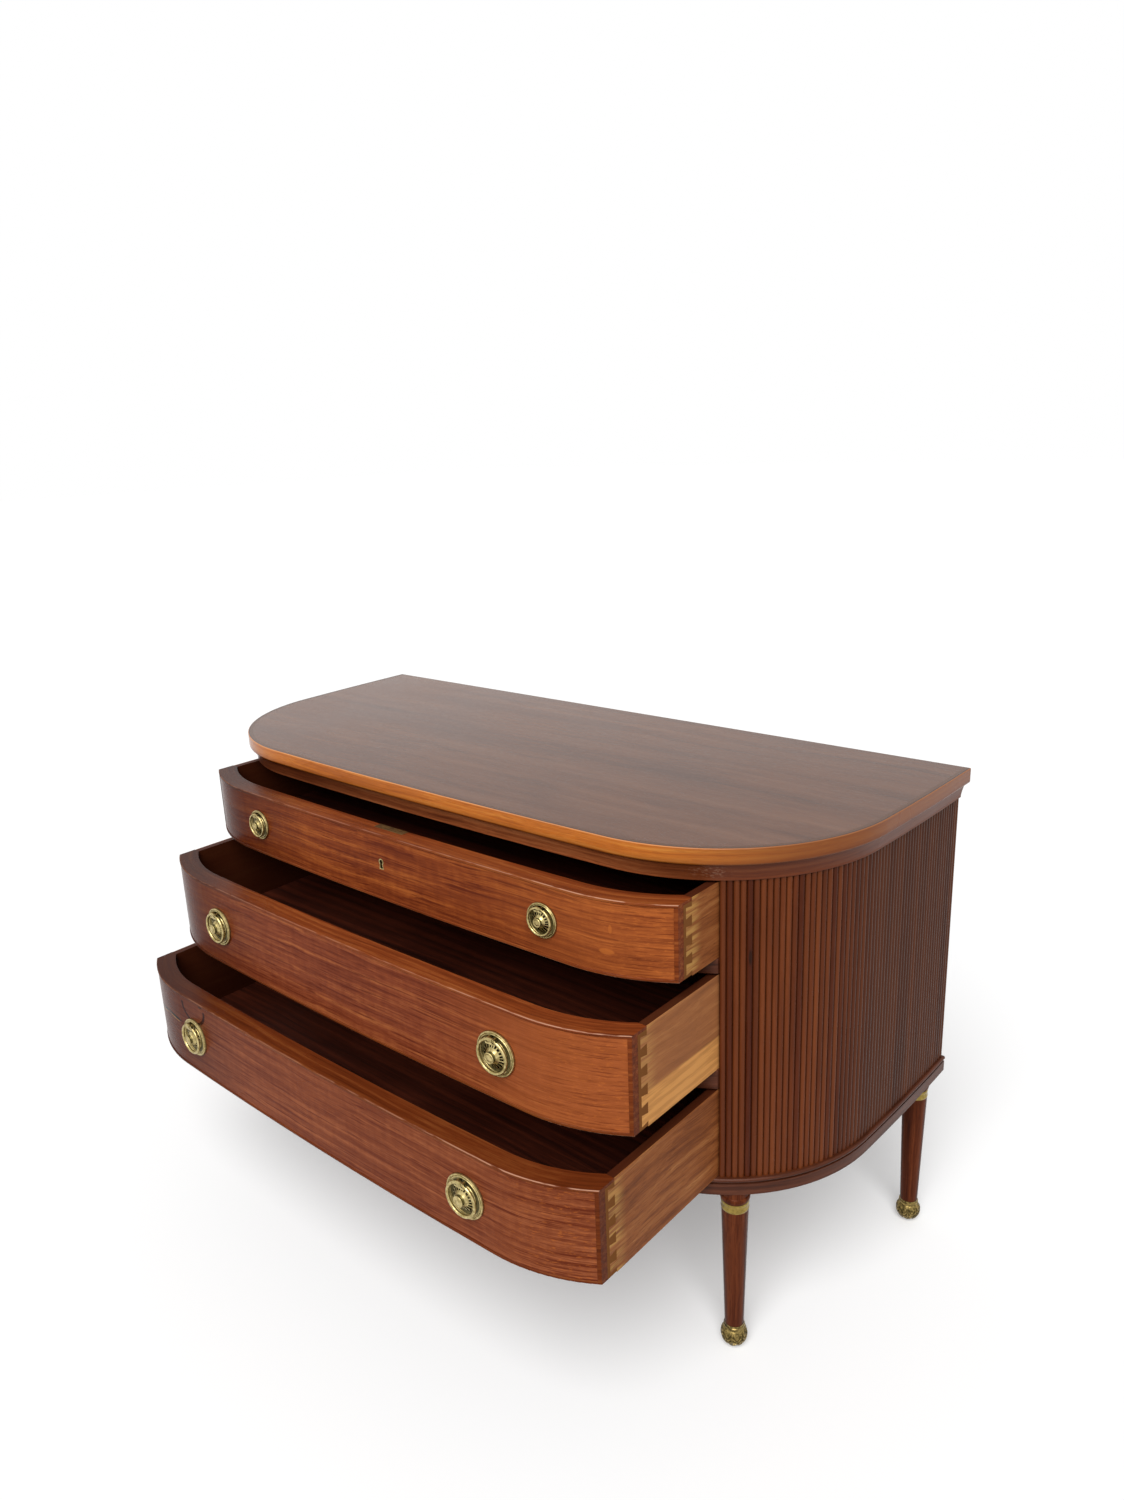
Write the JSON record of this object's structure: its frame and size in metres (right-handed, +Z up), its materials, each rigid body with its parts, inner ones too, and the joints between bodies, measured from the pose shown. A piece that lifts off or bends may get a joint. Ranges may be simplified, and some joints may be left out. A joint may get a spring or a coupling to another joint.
{
  "type": "demilune chest of drawers",
  "caption": "Bow-fronted demilune chest of drawers on turned legs, with reeded tambour sides, dovetailed drawers, ring pulls and a drawer lock.",
  "frame": {"origin": "on the floor, in the middle of the box round the part as it stands in the picture, with its drawers part open", "axes": "+X to the right of someone facing the drawers, +Y towards the back, +Z up; drawers open along -Y"},
  "size_m": [1.2, 0.7446, 0.741],
  "materials": {
    "case_mahogany": "polished",
    "cornice_mahogany": "polished",
    "base_mahogany": "polished",
    "top_veneer": "french polished",
    "edge_lipping": "polished",
    "reeded_mahogany": "polished",
    "carcass_wood": "bare",
    "back_wood": "bare",
    "divider_mahogany": "polished",
    "leg_mahogany": "polished",
    "leg_brass": "patinated",
    "front_core": "bare",
    "front_veneer": "french polished",
    "cockbead": "polished",
    "drawer_side": "bare",
    "drawer_back": "bare",
    "drawer_bottom": "bare",
    "pull_brass": "lacquered",
    "lock_iron": "worn"
  },
  "bodies": {
    "case": {"top_board": "top_veneer", "top_lipping": "edge_lipping", "under_top": "cornice_mahogany", "side_core_right": "carcass_wood", "side_core_left": "carcass_wood", "tambour_right": "reeded_mahogany", "tambour_left": "reeded_mahogany", "guide_board_right": "carcass_wood", "guide_board_left": "carcass_wood", "back_panel": "back_wood", "bottom_board": "carcass_wood", "base_moulding_front": "base_mahogany", "base_moulding_right": "base_mahogany", "base_moulding_left": "base_mahogany", "divider_lower": "divider_mahogany", "divider_upper": "divider_mahogany", "runners": "carcass_wood", "leg_front_right": "leg_mahogany", "leg_front_left": "leg_mahogany", "leg_back_right": "leg_mahogany", "leg_back_left": "leg_mahogany", "leg_ferrules": "leg_brass", "ball_feet": "leg_brass"},
    "drawer_top": {"front_core_top": "front_core", "front_veneer_top": "front_veneer", "cockbead_top": "cockbead", "drawer_side_right_top": "drawer_side", "drawer_side_left_top": "drawer_side", "drawer_back_top": "drawer_back", "drawer_bottom_top": "drawer_bottom", "pull_plates_top": "pull_brass", "pull_nuts_top": "pull_brass", "lock_case": "lock_iron", "keyhole_liner": "pull_brass"},
    "ring_right_top": {"pull_ring_right_top": "pull_brass"},
    "ring_left_top": {"pull_ring_left_top": "pull_brass"},
    "lock_bolt": {"lock_bolt": "lock_iron"},
    "drawer_middle": {"front_core_middle": "front_core", "front_veneer_middle": "front_veneer", "cockbead_middle": "cockbead", "drawer_side_right_middle": "drawer_side", "drawer_side_left_middle": "drawer_side", "drawer_back_middle": "drawer_back", "drawer_bottom_middle": "drawer_bottom", "pull_plates_middle": "pull_brass", "pull_nuts_middle": "pull_brass"},
    "ring_right_middle": {"pull_ring_right_middle": "pull_brass"},
    "ring_left_middle": {"pull_ring_left_middle": "pull_brass"},
    "drawer_bottom": {"front_core_bottom": "front_core", "front_veneer_bottom": "front_veneer", "cockbead_bottom": "cockbead", "drawer_side_right_bottom": "drawer_side", "drawer_side_left_bottom": "drawer_side", "drawer_back_bottom": "drawer_back", "drawer_bottom_bottom": "drawer_bottom", "pull_plates_bottom": "pull_brass", "pull_nuts_bottom": "pull_brass"},
    "ring_right_bottom": {"pull_ring_right_bottom": "pull_brass"},
    "ring_left_bottom": {"pull_ring_left_bottom": "pull_brass"}
  },
  "joints": [
    {"name": "drawer_top_slide", "type": "slide", "parent": "case", "child": "drawer_top", "axis": [0, -1, 0], "range_m": [-0.08, 0.3]},
    {"name": "ring_right_top_hinge", "type": "hinge", "parent": "drawer_top", "child": "ring_right_top", "pos_m": [0.29621, -0.20603, 0.66055], "axis": [-0.9995, -0.0305, 0], "range_deg": [0, 80]},
    {"name": "ring_left_top_hinge", "type": "hinge", "parent": "drawer_top", "child": "ring_left_top", "pos_m": [-0.29621, -0.20603, 0.66055], "axis": [-0.9995, 0.0305, 0], "range_deg": [0, 80]},
    {"name": "lock_bolt_slide", "type": "slide", "parent": "drawer_top", "child": "lock_bolt", "axis": [0, 0, 1], "range_m": [0, 0.008]},
    {"name": "drawer_middle_slide", "type": "slide", "parent": "case", "child": "drawer_middle", "axis": [0, -1, 0], "range_m": [-0.172, 0.208]},
    {"name": "ring_right_middle_hinge", "type": "hinge", "parent": "drawer_middle", "child": "ring_right_middle", "pos_m": [0.29627, -0.29994, 0.5259], "axis": [-0.9995, -0.0305, 0], "range_deg": [0, 80]},
    {"name": "ring_left_middle_hinge", "type": "hinge", "parent": "drawer_middle", "child": "ring_left_middle", "pos_m": [-0.29627, -0.29994, 0.5259], "axis": [-0.9995, 0.0305, 0], "range_deg": [0, 80]},
    {"name": "drawer_bottom_slide", "type": "slide", "parent": "case", "child": "drawer_bottom", "axis": [0, -1, 0], "range_m": [-0.238, 0.142]},
    {"name": "ring_right_bottom_hinge", "type": "hinge", "parent": "drawer_bottom", "child": "ring_right_bottom", "pos_m": [0.29627, -0.36594, 0.3654], "axis": [-0.9995, -0.0305, 0], "range_deg": [0, 80]},
    {"name": "ring_left_bottom_hinge", "type": "hinge", "parent": "drawer_bottom", "child": "ring_left_bottom", "pos_m": [-0.29627, -0.36594, 0.3654], "axis": [-0.9995, 0.0305, 0], "range_deg": [0, 80]}
  ]
}
